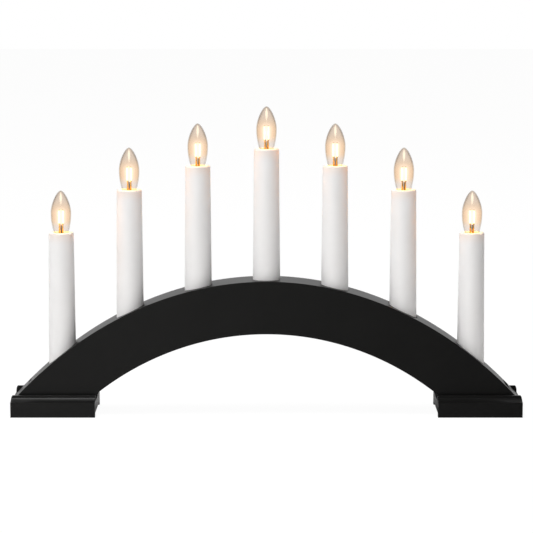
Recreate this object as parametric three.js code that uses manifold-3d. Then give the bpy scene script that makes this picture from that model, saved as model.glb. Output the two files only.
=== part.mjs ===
// Advent candle holder: a painted wooden arch on two moulded feet, carrying seven electric candles.
// Millimetres. X runs to the right, Y to the back and Z up. The holder stands on z = 0.
import * as THREE from 'three';
import { mergeVertices } from 'three/addons/utils/BufferGeometryUtils.js';
import loadManifold from 'manifold-3d';

// Whole holder
const holderWidth = 419.4;
const fitGap = 0.3; // clearance wherever one piece seats in another

// Arch: the band between an outer and an inner ellipse, cut level where it stands in the feet
const archHeight = 110.7;
const archCrownThickness = 43.6;
const archDepth = 35;
const archSeatHeight = 12.1;
const archEndInset = 1.1; // from the foot's end to the arch's outer corner
const archEndLength = 62.2; // length of the level cut on the foot
const archOuterRise = 424; // upright radius of the outer ellipse
const archInnerRise = 263; // upright radius of the inner ellipse
const archEdge = 0.8;

// Feet: one moulding each, with a trough on top and a relief underneath
const footLength = 69.2;
const footNoseHeight = 14.2;
const footNoseRound = 1.5;
const footLedge = 5.5; // from the nose back to the lip
const footCove = 1.4;
const footLipThickness = 3.4;
const footLipRise = 5.3; // lip above the trough floor
const footLipRound = 1.2;
const footTroughGap = 3; // shadow gap between the arch and the lip
const footEndRound = 2;
const footReliefHeight = 3;
const footRunnerWidth = 5;

// Foot screws, driven up through the foot into the arch
const screwHeadDiameter = 7.6;
const screwHeadEdge = 0.5;
const screwShankDiameter = 4;
const screwLength = 24;
const screwPoint = 4;
const screwEndSetback = 18.5; // from the foot's outer end to the outer screw
const screwSpacing = 32;
const screwFrontOffset = 9; // in front of the wiring channel

// Candles
const candleCount = 7;
const candleEndSetback = 40.9; // from the foot's end to the outer candle's axis
const candleExposed = 100.1; // sleeve above the arch, on its axis
const centreCandleRise = 7.6;
const sleeveLength = 118;
const sleeveTopDiameter = 20.5;
const sleeveBaseDiameter = 22.7;
const sleeveWall = 1.5;
const sleeveLip = 1.3;
const sleeveShoulder = 1.3;
const sleeveMouthGap = 0.8;

// Bulbs: a candle-shaped glass on a small screw cap, measured from the sleeve's rim
const bulbTipHeight = 35.3;
const bulbWaistHeight = 14.5;
const bulbDiameter = 17;
const bulbGlassWall = 0.6;
const bulbNeckFlare = 0.3; // the four handles of the glass curves, from their ends
const bulbNeckRun = 5;
const bulbBellyRun = 11;
const bulbShoulderRun = 11.5;
const bulbTipWidth = 3.9;
const bulbTipDrop = 1.7;
const bulbNeckDepth = 9;
const bulbNeckSeat = 2.5;
const capDiameter = 9.5;
const capWall = 0.5;
const capHeight = 9.5;
const contactDiameter = 4.4;
const contactReach = 1.6;
const contactFlange = 0.9;
const filamentLength = 11.4;
const filamentDiameter = 1.3;
const filamentSpacing = 3.7;
const filamentBaseHeight = 7.7;
const leadDiameter = 0.9;
const leadSpacing = 2.8;
const stemDiameter = 3.8;
const stemTopHeight = 1;

// Lampholders
const holderFloor = 4;
const threadGap = 0.4;

// Wiring in the arch's underside
const grooveWidth = 8;
const grooveDepth = 8;
const channelDepth = 6;
const coverWidth = 14;
const coverThickness = 2;
const coverEndRise = 3.5; // the strip ends this far above the seat
const wireHoleDiameter = 8;
const wireDiameter = 1.6;
const wireLane = 1.5;
const wireTailOffset = 1.6;
const wireLift = 1; // slack under a wire in its groove

// Cord outlet at the right end and a small drilled hole at the left end
const cordSlotInset = 9.4;
const cordSlotWidth = 3.4;
const cordSlotDepth = 11;
const bushLength = 8;
const bushHeight = 5;
const bushSunk = 1;
const bushBore = 2;
const pinHoleInset = 12.2;
const pinHoleBack = 5.5;
const pinHoleDiameter = 2.2;
const pinHoleDepth = 4;

// Facets
const archSegments = 32;
const coverSegments = 20;
const sleeveSides = 18;
const capSides = 14;
const glassSides = 14;
const filamentSides = 6;
const contactSides = 10;
const glassSamples = 40;
const lowerGlassSteps = 4;
const upperGlassSteps = 5;
const screwSides = 10;
const wireSides = 6;
const wireStep = 8;
const holeSides = 8;
const roundSegments = 3;
const overcut = 2; // how far a cutter runs past the face it opens

// Derived sizes
const troughFloor = archSeatHeight - fitGap;
const troughHalfDepth = archDepth / 2 + footTroughGap;
const lipFace = troughHalfDepth + footLipThickness;
const footHalfDepth = lipFace + footLedge;
const lipTop = troughFloor + footLipRise;
const archOuterHalfSpan = holderWidth / 2 - archEndInset;
const archInnerHalfSpan = archOuterHalfSpan - archEndLength;
const sleeveBore = sleeveTopDiameter - 2 * sleeveWall;
const capTop = -bulbNeckDepth - fitGap;
const capBottom = capTop - capHeight;
const neckRadius = capDiameter / 2 - capWall - fitGap;
const holderTop = -sleeveLip - fitGap;
const holderFloorTop = capBottom - contactReach - fitGap;
const holderBottom = holderFloorTop - holderFloor;
const lastCandleX = holderWidth / 2 - candleEndSetback;
const candleSpacing = (2 * lastCandleX) / (candleCount - 1);

const wasm = await loadManifold();
wasm.setup();

const axisX = new THREE.Vector3(1, 0, 0);
const axisY = new THREE.Vector3(0, 1, 0);
const axisZ = new THREE.Vector3(0, 0, 1);
const frontView = new THREE.Matrix4().makeBasis(axisX, axisZ, axisY.clone().negate());
const sideView = new THREE.Matrix4().makeBasis(axisY, axisZ, axisX);

// Finishes
function finish(color, roughness, metalness = 0) {
  return new THREE.MeshStandardMaterial({ color, roughness, metalness });
}

const blackPaint = finish(0x20201f, 0.45);
const whitePlastic = finish(0xf1efec, 0.4);
const clearGlass = finish(0xf3e6d8, 0.05);
const brass = finish(0xb58a3c, 0.35, 1);
const solder = finish(0xa9a9a6, 0.4, 1);
const phosphor = finish(0xfff3d0, 0.5);
const socketPlastic = finish(0xe6dfd2, 0.5);
const blackRubber = finish(0x161616, 0.7);
const zincSteel = finish(0xb9bcbd, 0.35, 1);
const wireSheath = finish(0xe4e1da, 0.5);
const blackBoard = finish(0x262624, 0.6);

function part(name, geometry, material) {
  const mesh = new THREE.Mesh(geometry, material);
  mesh.name = name;
  return mesh;
}

// Solids for joining and cutting
function toSolid(geometry) {
  const bare = geometry.clone();
  bare.deleteAttribute('normal');
  bare.deleteAttribute('uv');
  const merged = mergeVertices(bare);
  const vertProperties = Float32Array.from(merged.attributes.position.array);
  const triVerts = Uint32Array.from(merged.index.array);
  return new wasm.Manifold(new wasm.Mesh({ numProp: 3, vertProperties, triVerts }));
}

function toGeometry(solid) {
  const mesh = solid.getMesh();
  const geometry = new THREE.BufferGeometry();
  geometry.setAttribute('position', new THREE.BufferAttribute(mesh.vertProperties, 3));
  geometry.setIndex(new THREE.BufferAttribute(mesh.triVerts, 1));
  geometry.computeVertexNormals();
  return geometry;
}

function cut(geometry, cutters) {
  let solid = toSolid(geometry);
  for (const cutter of cutters) solid = solid.subtract(toSolid(cutter));
  return toGeometry(solid);
}

function join(geometries) {
  const [first, ...others] = geometries.map(toSolid);
  return toGeometry(others.reduce((whole, other) => whole.add(other), first));
}

// Basic forms
function turned(outline, sides) {
  const points = outline.map(([radius, height]) => new THREE.Vector2(radius, height));
  return new THREE.LatheGeometry(points, sides).rotateX(Math.PI / 2);
}

function upright(bottomRadius, topRadius, bottom, top, sides, x = 0, y = 0) {
  const cylinder = new THREE.CylinderGeometry(topRadius, bottomRadius, top - bottom, sides);
  return cylinder.rotateX(Math.PI / 2).translate(x, y, (bottom + top) / 2);
}

function block(low, high) {
  const size = new THREE.Vector3().subVectors(high, low);
  const centre = new THREE.Vector3().addVectors(low, high).multiplyScalar(0.5);
  return new THREE.BoxGeometry(size.x, size.y, size.z).translate(centre.x, centre.y, centre.z);
}

// An outline seen from the front, made into a board of the given depth
function board(shape, depth, edge, segments) {
  const geometry = new THREE.ExtrudeGeometry(shape, {
    depth: depth - 2 * edge,
    bevelEnabled: edge > 0,
    bevelThickness: edge,
    bevelSize: edge,
    bevelOffset: -edge,
    bevelSegments: 1,
    curveSegments: segments,
  });
  return geometry.translate(0, 0, edge - depth / 2).applyMatrix4(frontView);
}

// The two ellipses of the arch
function ellipse(apex, rise, halfSpan) {
  const centre = apex - rise;
  const endAngle = Math.asin((archSeatHeight - centre) / rise);
  return { centre, rise, endAngle, radius: halfSpan / Math.cos(endAngle) };
}

const outerEllipse = ellipse(archHeight, archOuterRise, archOuterHalfSpan);
const innerEllipse = ellipse(archHeight - archCrownThickness, archInnerRise, archInnerHalfSpan);

function heightOn({ centre, rise, radius }, x, offset = 0) {
  return centre + (rise + offset) * Math.sqrt(1 - (x / (radius + offset)) ** 2);
}

function archOutline() {
  const { centre, rise, radius, endAngle } = outerEllipse;
  const inner = innerEllipse;
  const shape = new THREE.Shape();
  shape.absellipse(0, centre, radius, rise, Math.PI - endAngle, endAngle, true);
  shape.absellipse(0, inner.centre, inner.radius, inner.rise, inner.endAngle, Math.PI - inner.endAngle);
  return shape;
}

// A strip that follows the arch's underside between two offsets into the wood
function undersideStrip(lowOffset, highOffset, endAngle) {
  const { centre, rise, radius } = innerEllipse;
  const shape = new THREE.Shape();
  shape.absellipse(0, centre, radius + highOffset, rise + highOffset, Math.PI - endAngle, endAngle, true);
  shape.absellipse(0, centre, radius + lowOffset, rise + lowOffset, endAngle, Math.PI - endAngle);
  return shape;
}

function candlePlace(index) {
  const x = index * candleSpacing - lastCandleX;
  const rise = x === 0 ? centreCandleRise : 0;
  return new THREE.Vector3(x, 0, heightOn(outerEllipse, x) + candleExposed + rise);
}

const candles = Array.from({ length: candleCount }, (_, index) => candlePlace(index));

// Cord outlet: a slot square to the arch's slope, open at the back
const cordSlotX = archOuterHalfSpan - cordSlotInset;

function cordSlotFrame() {
  const reach = 1;
  const rise = heightOn(outerEllipse, cordSlotX + reach) - heightOn(outerEllipse, cordSlotX - reach);
  const along = new THREE.Vector3(2 * reach, 0, rise).normalize();
  const outward = new THREE.Vector3().crossVectors(along, axisY);
  const frame = new THREE.Matrix4().makeBasis(along, axisY, outward);
  return frame.setPosition(cordSlotX, 0, heightOn(outerEllipse, cordSlotX));
}

const cordSlot = cordSlotFrame();
const cordSlotFoot = new THREE.Vector3(0, 0, -cordSlotDepth).applyMatrix4(cordSlot);

function cordSlotCutter() {
  const low = new THREE.Vector3(-cordSlotWidth / 2, -grooveWidth / 2, -cordSlotDepth);
  const high = new THREE.Vector3(cordSlotWidth / 2, archDepth / 2 + overcut, overcut);
  return block(low, high).applyMatrix4(cordSlot);
}

function cordBush() {
  const half = cordSlotWidth / 2 - fitGap;
  const back = archDepth / 2 - bushSunk;
  const low = new THREE.Vector3(-half, back - bushLength, -bushSunk - bushHeight);
  const high = new THREE.Vector3(half, back, -bushSunk);
  const radius = bushBore / 2;
  const bore = new THREE.CylinderGeometry(radius, radius, bushLength + 2 * overcut, holeSides);
  bore.translate(0, back - bushLength / 2, -bushSunk - bushHeight / 2);
  const bush = part('cord_bush', cut(block(low, high), [bore]), blackRubber);
  bush.applyMatrix4(cordSlot);
  return bush;
}

// Foot screws sit in a row in front of the wiring channel
const outerScrewX = holderWidth / 2 - screwEndSetback;
const screwPlaces = [outerScrewX, outerScrewX - screwSpacing];

function screwOutline(gap) {
  const head = screwHeadDiameter / 2 + gap;
  const shank = screwShankDiameter / 2 + gap;
  const coneTop = screwHeadEdge + head - shank;
  return { head, shank, coneTop };
}

function screwCutters(x, y) {
  const { head, shank, coneTop } = screwOutline(fitGap);
  const base = footReliefHeight;
  return [
    upright(head, head, base - overcut, base + screwHeadEdge, screwSides, x, y),
    upright(head, shank, base + screwHeadEdge, base + coneTop, screwSides, x, y),
    upright(shank, shank, base + screwHeadEdge, base + screwLength + fitGap, screwSides, x, y),
  ];
}

function footScrew(name, x) {
  const { head, shank, coneTop } = screwOutline(0);
  const outline = [
    [0, 0],
    [head, 0],
    [head, screwHeadEdge],
    [shank, coneTop],
    [shank, screwLength - screwPoint],
    [0, screwLength],
  ];
  const screw = part(name, turned(outline, screwSides), zincSteel);
  screw.position.set(x, -screwFrontOffset, footReliefHeight);
  return screw;
}

// Arch
function sleeveRadius(below) {
  const taper = (sleeveBaseDiameter - sleeveTopDiameter) / 2 / sleeveLength;
  return sleeveTopDiameter / 2 + taper * below;
}

function candleCutters({ x, z }) {
  const bottom = z - sleeveLength - fitGap;
  const baseRadius = sleeveBaseDiameter / 2 + fitGap;
  const top = z - sleeveLength / 2;
  const topRadius = sleeveRadius(sleeveLength / 2) + fitGap;
  const hole = wireHoleDiameter / 2;
  const underside = heightOn(innerEllipse, Math.min(Math.abs(x), archInnerHalfSpan));
  const holeBottom = Math.max(underside, archSeatHeight);
  return [
    upright(baseRadius, topRadius, bottom, top, sleeveSides, x),
    upright(hole, hole, holeBottom + coverThickness, bottom + overcut, holeSides, x),
  ];
}

function channelCutter(side, reach) {
  const [left, right] = [side * (archInnerHalfSpan - overcut), side * reach].sort((a, b) => a - b);
  const half = grooveWidth / 2;
  const low = new THREE.Vector3(left, -half, archSeatHeight - overcut);
  const high = new THREE.Vector3(right, half, archSeatHeight + channelDepth);
  return block(low, high);
}

function pinHoleCutter() {
  const x = pinHoleInset - archOuterHalfSpan;
  const top = heightOn(outerEllipse, x);
  const radius = pinHoleDiameter / 2;
  return upright(radius, radius, top - pinHoleDepth, top + pinHoleDepth, holeSides, x, pinHoleBack);
}

function arch() {
  const wholeUnderside = innerEllipse.endAngle - overcut / archInnerRise;
  const rebate = undersideStrip(-overcut, coverThickness + fitGap, wholeUnderside);
  const groove = undersideStrip(-overcut, grooveDepth, wholeUnderside);
  const cutters = [
    board(rebate, coverWidth + 2 * fitGap, 0, coverSegments),
    board(groove, grooveWidth, 0, coverSegments),
    channelCutter(-1, lastCandleX + wireHoleDiameter / 2),
    channelCutter(1, cordSlotFoot.x + cordSlotWidth / 2),
    cordSlotCutter(),
    pinHoleCutter(),
    ...candles.flatMap(candleCutters),
    ...screwPlaces.flatMap((x) => screwCutters(x, -screwFrontOffset)),
    ...screwPlaces.flatMap((x) => screwCutters(-x, -screwFrontOffset)),
  ];
  return part('arch', cut(board(archOutline(), archDepth, archEdge, archSegments), cutters), blackPaint);
}

function wiringCover() {
  const { centre, rise } = innerEllipse;
  const endAngle = Math.asin((archSeatHeight + coverEndRise - centre) / rise);
  const strip = undersideStrip(0, coverThickness, endAngle);
  return part('wiring_cover', board(strip, coverWidth, 0, coverSegments), blackBoard);
}

// Feet
function footOutline() {
  const runner = footHalfDepth - footRunnerWidth;
  const shape = new THREE.Shape();
  const quarter = Math.PI / 2;
  const noseCentre = footNoseHeight - footNoseRound;
  shape.moveTo(runner, footReliefHeight);
  shape.lineTo(runner, 0);
  shape.lineTo(footHalfDepth, 0);
  shape.absarc(footHalfDepth - footNoseRound, noseCentre, footNoseRound, 0, quarter);
  shape.absarc(lipFace + footCove, footNoseHeight + footCove, footCove, -quarter, -2 * quarter, true);
  shape.absarc(lipFace - footLipRound, lipTop - footLipRound, footLipRound, 0, quarter);
  shape.absarc(troughHalfDepth + footLipRound, lipTop - footLipRound, footLipRound, quarter, 2 * quarter);
  shape.lineTo(troughHalfDepth, troughFloor);
  shape.lineTo(-troughHalfDepth, troughFloor);
  shape.absarc(-troughHalfDepth - footLipRound, lipTop - footLipRound, footLipRound, 0, quarter);
  shape.absarc(footLipRound - lipFace, lipTop - footLipRound, footLipRound, quarter, 2 * quarter);
  shape.absarc(-lipFace - footCove, footNoseHeight + footCove, footCove, 0, -quarter, true);
  shape.absarc(footNoseRound - footHalfDepth, noseCentre, footNoseRound, quarter, 2 * quarter);
  shape.lineTo(-footHalfDepth, 0);
  shape.lineTo(-runner, 0);
  shape.lineTo(-runner, footReliefHeight);
  return shape;
}

// The foot's ends as seen from the front, with their upper corners eased
function footEndOutline() {
  const half = footLength / 2;
  const shape = new THREE.Shape();
  shape.moveTo(-half, -overcut);
  shape.lineTo(half, -overcut);
  shape.absarc(half - footEndRound, lipTop - footEndRound, footEndRound, 0, Math.PI / 2);
  shape.absarc(footEndRound - half, lipTop - footEndRound, footEndRound, Math.PI / 2, Math.PI);
  return shape;
}

function foot(name, side) {
  const centre = side * (holderWidth / 2 - footLength / 2);
  const moulding = new THREE.ExtrudeGeometry(footOutline(), {
    depth: footLength,
    bevelEnabled: false,
    curveSegments: roundSegments,
  });
  moulding.translate(0, 0, -footLength / 2).applyMatrix4(sideView);
  const ends = board(footEndOutline(), 2 * footHalfDepth + 2 * overcut, 0, roundSegments);
  const eased = toGeometry(toSolid(moulding).intersect(toSolid(ends)));
  const holes = screwPlaces.flatMap((x) => screwCutters(side * x - centre, -screwFrontOffset));
  const mesh = part(name, cut(eased, holes), blackPaint);
  mesh.position.x = centre;
  return mesh;
}

// Candle sleeve, with its rim at z = 0
function sleeve(name, mouthRadius) {
  const top = sleeveTopDiameter / 2;
  const bore = sleeveBore / 2;
  const outline = [[sleeveBaseDiameter / 2, -sleeveLength]];
  for (let step = 0; step <= roundSegments; step += 1) {
    const angle = (step / roundSegments) * (Math.PI / 2);
    const radius = top - sleeveShoulder * (1 - Math.cos(angle));
    outline.push([radius, -sleeveShoulder * (1 - Math.sin(angle))]);
  }
  outline.push([mouthRadius, 0], [mouthRadius, -sleeveLip], [bore, -sleeveLip], [bore, -sleeveLength]);
  outline.push(outline[0]);
  return part(name, turned(outline, sleeveSides), whitePlastic);
}

// Bulb glass: two curves meet at the waist, below them a short neck
const waist = new THREE.Vector2(bulbDiameter / 2, bulbWaistHeight);
const tip = new THREE.Vector2(0, bulbTipHeight);
const lowerCurve = new THREE.CubicBezierCurve(
  new THREE.Vector2(neckRadius, -bulbNeckDepth),
  new THREE.Vector2(neckRadius + bulbNeckFlare, -bulbNeckDepth + bulbNeckRun),
  new THREE.Vector2(waist.x, waist.y - bulbBellyRun),
  waist,
);
const upperCurve = new THREE.CubicBezierCurve(
  waist,
  new THREE.Vector2(waist.x, waist.y + bulbShoulderRun),
  new THREE.Vector2(tip.x + bulbTipWidth, tip.y - bulbTipDrop),
  tip,
);

function glassOutline() {
  const lower = lowerCurve.getPoints(lowerGlassSteps);
  const upper = upperCurve.getPoints(upperGlassSteps);
  const neckEnd = new THREE.Vector2(neckRadius, -bulbNeckDepth - bulbNeckSeat);
  const outer = [neckEnd, ...lower, ...upper.slice(1)];
  const inner = outer.map((point, index) => {
    const before = outer[Math.max(index - 1, 0)];
    const after = outer[Math.min(index + 1, outer.length - 1)];
    const along = new THREE.Vector2().subVectors(after, before).normalize();
    return new THREE.Vector2(point.x - along.y * bulbGlassWall, point.y + along.x * bulbGlassWall);
  });
  inner[0].y = outer[0].y;
  inner[inner.length - 1].set(0, tip.y - 2 * bulbGlassWall);
  return [...inner.reverse(), ...outer].map(({ x, y }) => [x, y]);
}

function glassRadiusAt(height) {
  const points = lowerCurve.getPoints(glassSamples);
  return points.find(({ y }) => y >= height).x;
}

function bulbGlass(name) {
  return part(name, turned(glassOutline(), glassSides), clearGlass);
}

function bulbCap(name) {
  const radius = capDiameter / 2;
  const hole = contactDiameter / 2 + fitGap;
  const outline = [
    [hole, capBottom],
    [radius, capBottom],
    [radius, capTop],
    [radius - capWall, capTop],
    [radius - capWall, capBottom + capWall],
    [hole, capBottom + capWall],
    [hole, capBottom],
  ];
  return part(name, turned(outline, capSides), brass);
}

function bulbContact(name) {
  const radius = contactDiameter / 2;
  const flange = capDiameter / 2 - capWall - fitGap;
  const seat = capBottom + capWall + fitGap;
  const outline = [
    [0, capBottom - contactReach],
    [radius, capBottom - contactReach],
    [radius, seat],
    [flange, seat],
    [flange, seat + contactFlange],
    [0, seat + contactFlange],
  ];
  return part(name, turned(outline, contactSides), solder);
}

// Glass stem, two lead wires, two light rods and the bridge between their tops
function bulbFilament(name) {
  const lead = leadDiameter / 2;
  const rod = filamentDiameter / 2;
  const rodTop = filamentBaseHeight + filamentLength;
  const flareTop = -bulbNeckDepth;
  const flare = neckRadius - bulbGlassWall - fitGap;
  const pieces = [
    upright(flare, flare, flareTop - bulbNeckSeat, flareTop, contactSides),
    upright(stemDiameter / 2, stemDiameter / 2, flareTop - lead, stemTopHeight, filamentSides),
  ];
  for (const side of [-1, 1]) {
    const leadTop = filamentBaseHeight + leadDiameter;
    const leadX = (side * leadSpacing) / 2;
    const rodX = (side * filamentSpacing) / 2;
    pieces.push(upright(lead, lead, stemTopHeight - leadDiameter, leadTop, filamentSides, leadX));
    pieces.push(upright(rod, rod, filamentBaseHeight, rodTop, filamentSides, rodX));
  }
  const bridge = new THREE.CylinderGeometry(lead, lead, filamentSpacing, filamentSides);
  pieces.push(bridge.rotateZ(Math.PI / 2).translate(0, 0, rodTop - lead / 2));
  return part(name, join(pieces), phosphor);
}

function lampholder(name) {
  const radius = sleeveBore / 2 - fitGap;
  const cup = glassRadiusAt(holderTop) + sleeveMouthGap;
  const bore = capDiameter / 2 + threadGap;
  const outline = [
    [0, holderBottom],
    [radius, holderBottom],
    [radius, holderTop],
    [cup, holderTop],
    [bore, capTop],
    [bore, holderFloorTop],
    [0, holderFloorTop],
  ];
  return part(name, turned(outline, capSides), socketPlastic);
}

function candle(place, number) {
  const group = new THREE.Group();
  group.position.copy(place);
  group.add(sleeve(`candle_sleeve_${number}`, glassRadiusAt(0) + sleeveMouthGap));
  group.add(lampholder(`lampholder_${number}`));
  group.add(bulbContact(`bulb_contact_${number}`));
  group.add(bulbCap(`bulb_cap_${number}`));
  group.add(bulbGlass(`bulb_glass_${number}`));
  group.add(bulbFilament(`bulb_filament_${number}`));
  return group;
}

// Wiring: the lamps are in series, so a wire runs from each lampholder to the next,
// and one more brings the current back along the groove to the cord outlet
function wireHeight(x) {
  const reach = Math.min(Math.abs(x), archInnerHalfSpan + grooveDepth);
  const onCover = heightOn(innerEllipse, reach, coverThickness + wireLift + wireDiameter / 2);
  return Math.max(onCover, troughFloor + fitGap + wireDiameter / 2);
}

function wireRun(fromX, toX, y) {
  const steps = Math.ceil((toX - fromX) / wireStep);
  const points = [];
  for (let step = 0; step <= steps; step += 1) {
    const x = fromX + ((toX - fromX) * step) / steps;
    points.push(new THREE.Vector3(x, y, wireHeight(x)));
  }
  const section = new THREE.Shape().absarc(0, 0, wireDiameter / 2, 0, 2 * Math.PI);
  const extrudePath = new THREE.CatmullRomCurve3(points, false, 'centripetal');
  return new THREE.ExtrudeGeometry(section, { steps, extrudePath, curveSegments: wireSides / 2 });
}

function wireTail(x, y, { z }) {
  const radius = wireDiameter / 2;
  return upright(radius, radius, wireHeight(x) - radius, z + holderBottom - fitGap, wireSides, x, y);
}

function wiring() {
  const group = new THREE.Group();
  const first = candles[0];
  const last = candles[candleCount - 1];
  for (let index = 0; index + 1 < candleCount; index += 1) {
    const left = candles[index].x + wireTailOffset;
    const right = candles[index + 1].x - wireTailOffset;
    const pieces = [
      wireRun(left, right, -wireLane),
      wireTail(left, -wireLane, candles[index]),
      wireTail(right, -wireLane, candles[index + 1]),
    ];
    group.add(part(`link_wire_${index + 1}`, join(pieces), wireSheath));
  }
  const supply = last.x + wireTailOffset;
  const supplyPieces = [wireRun(supply, cordSlotFoot.x, -wireLane), wireTail(supply, -wireLane, last)];
  group.add(part('supply_wire', join(supplyPieces), wireSheath));
  const back = first.x - wireTailOffset;
  const returnPieces = [wireRun(back, cordSlotFoot.x, wireLane), wireTail(back, wireLane, first)];
  group.add(part('return_wire', join(returnPieces), wireSheath));
  return group;
}

const holder = new THREE.Group();
holder.add(arch());
holder.add(foot('foot_left', -1));
holder.add(foot('foot_right', 1));
holder.add(wiringCover());
holder.add(wiring());
holder.add(cordBush());
screwPlaces.forEach((x, index) => {
  holder.add(footScrew(`foot_screw_left_${index + 1}`, -x));
  holder.add(footScrew(`foot_screw_right_${index + 1}`, x));
});
candles.forEach((place, index) => holder.add(candle(place, index + 1)));

export default holder;
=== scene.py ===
# %% [markdown]
# # Advent candle holder
# This is an electric window light: a black painted arch on two moulded feet, white candle sleeves that
# stand in the arch, and a clear candle bulb in each sleeve. A frame of plain solids already holds every
# piece at its real size and place. In this lesson the pieces that show are modelled again with smooth
# curves and eased edges, each surface gets a finish, and a quiet studio is set up around them.

# %% Load the frame
import math

import bmesh
import bpy
from mathutils import Matrix, Vector


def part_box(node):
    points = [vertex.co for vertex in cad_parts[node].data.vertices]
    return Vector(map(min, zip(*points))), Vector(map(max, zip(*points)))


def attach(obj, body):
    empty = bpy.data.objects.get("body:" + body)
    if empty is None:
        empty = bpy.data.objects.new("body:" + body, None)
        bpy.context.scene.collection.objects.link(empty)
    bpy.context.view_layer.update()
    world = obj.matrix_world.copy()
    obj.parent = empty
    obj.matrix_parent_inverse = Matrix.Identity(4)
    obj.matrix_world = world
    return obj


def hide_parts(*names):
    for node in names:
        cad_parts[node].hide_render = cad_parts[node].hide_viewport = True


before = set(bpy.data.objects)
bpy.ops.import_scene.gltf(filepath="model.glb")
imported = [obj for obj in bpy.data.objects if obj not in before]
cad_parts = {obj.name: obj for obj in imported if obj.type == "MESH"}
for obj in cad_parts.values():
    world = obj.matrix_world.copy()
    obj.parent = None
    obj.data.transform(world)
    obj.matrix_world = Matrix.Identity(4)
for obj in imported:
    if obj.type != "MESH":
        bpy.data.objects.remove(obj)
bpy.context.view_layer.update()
MM = 0.001
CANDLES = range(1, 8)

# %% [markdown]
# ## Camera
# The photograph was taken from straight in front, a little above the candles, with a long lens. A long
# lens far away keeps the seven candles parallel, so the camera stands almost two metres off and looks
# down by eight degrees.

# %% Camera
PHOTO_PIXELS = 533
FOCAL_PIXELS = 2391
SENSOR_WIDTH = 36
CAMERA_PLACE = Vector((0, -1.95, 0.397))
CAMERA_TILT = math.radians(8.06)

bpy.ops.object.camera_add(location=CAMERA_PLACE, rotation=(math.pi / 2 - CAMERA_TILT, 0, 0))
camera = bpy.context.object
camera.data.sensor_width = SENSOR_WIDTH
camera.data.lens = FOCAL_PIXELS / PHOTO_PIXELS * SENSOR_WIDTH
bpy.context.scene.camera = camera
bpy.context.scene.view_settings.view_transform = "Standard"
print("camera: lens", round(camera.data.lens, 1), "mm")

# %% [markdown]
# ## Shader arithmetic
# A finish is a small sum of textures. Written as nodes, a sum is hard to read, so one small class wraps
# an output socket and lets Python's own operators add the Math nodes. Every other node is added by one
# method, which takes the node's type, its settings and what goes into its sockets. Plain finishes, such
# as zinc or rubber, differ only in their numbers, so one function makes them all.


# %% Shader arithmetic
class Wire:
    """An output socket that can be used in a sum."""

    def __init__(self, finish, socket):
        self.finish = finish
        self.socket = socket

    def sum(self, operation, first, second):
        return self.finish.node("ShaderNodeMath", {"operation": operation}, [first, second])

    def __add__(self, other):
        return self.sum("ADD", self, other)

    def __sub__(self, other):
        return self.sum("SUBTRACT", self, other)

    def __mul__(self, other):
        return self.sum("MULTIPLY", self, other)

    def __pow__(self, other):
        return self.sum("POWER", self, other)

    def __radd__(self, other):
        return self.sum("ADD", other, self)

    def __rsub__(self, other):
        return self.sum("SUBTRACT", other, self)

    def __rmul__(self, other):
        return self.sum("MULTIPLY", other, self)


class Finish:
    """The nodes of a material or of the world, while they are being put together."""

    def __init__(self, owner):
        owner.use_nodes = True
        self.owner = owner
        self.tree = owner.node_tree
        self.tree.nodes.clear()

    def node(self, kind, settings, inputs, output=0):
        made = self.tree.nodes.new(kind)
        for name, value in settings.items():
            setattr(made, name, value)
        for key, value in inputs.items() if isinstance(inputs, dict) else enumerate(inputs):
            if isinstance(value, Wire):
                self.tree.links.new(value.socket, made.inputs[key])
            else:
                made.inputs[key].default_value = value
        return Wire(self, made.outputs[output]) if made.outputs else None


def paint_tone(red, green, blue):
    """A colour as a paint chart gives it, from 0 to 255, made linear for the shaders."""
    shares = (red / 255, green / 255, blue / 255)
    return (*(share / 12.92 if share < 0.04 else ((share + 0.055) / 1.055) ** 2.4 for share in shares), 1)


def new_finish(name):
    return Finish(bpy.data.materials.new(name))


def surface(finish, shader):
    finish.node("ShaderNodeOutputMaterial", {}, {"Surface": shader})
    return finish.owner


def object_place(finish):
    return finish.node("ShaderNodeTexCoord", {}, {}, "Object")


def noise(finish, place, scale, detail=2):
    return finish.node("ShaderNodeTexNoise", {}, {"Vector": place, "Scale": scale, "Detail": detail})


def stretched(finish, place, scale):
    return finish.node("ShaderNodeMapping", {}, {"Vector": place, "Scale": scale})


def blend_colours(finish, share, first, second):
    return finish.node("ShaderNodeMix", {"data_type": "RGBA"}, {0: share, 6: first, 7: second}, 2)


def between(finish, value, low, high):
    """0 up to low, 1 from high on, and a soft step between."""
    return finish.node(
        "ShaderNodeMapRange",
        {"interpolation_type": "SMOOTHSTEP"},
        {"Value": value, "From Min": low, "From Max": high},
    )


def bump(finish, height, strength, depth):
    return finish.node("ShaderNodeBump", {}, {"Height": height, "Strength": strength, "Distance": depth})


def principled(finish, **values):
    inputs = {name.replace("_", " "): value for name, value in values.items()}
    return finish.node("ShaderNodeBsdfPrincipled", {}, inputs)


def mottled(name, tones, scale, rough, detail=3, relief=None, **values):
    """A finish whose tone and gloss follow one noise: rough is the least roughness and its spread."""
    finish = new_finish(name)
    mottle = noise(finish, object_place(finish), scale, detail)
    values["Base_Color"] = blend_colours(finish, mottle, *tones)
    values["Roughness"] = rough[0] + rough[1] * mottle
    if relief:
        values["Normal"] = bump(finish, mottle, *relief)
    return surface(finish, principled(finish, **values))
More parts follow.
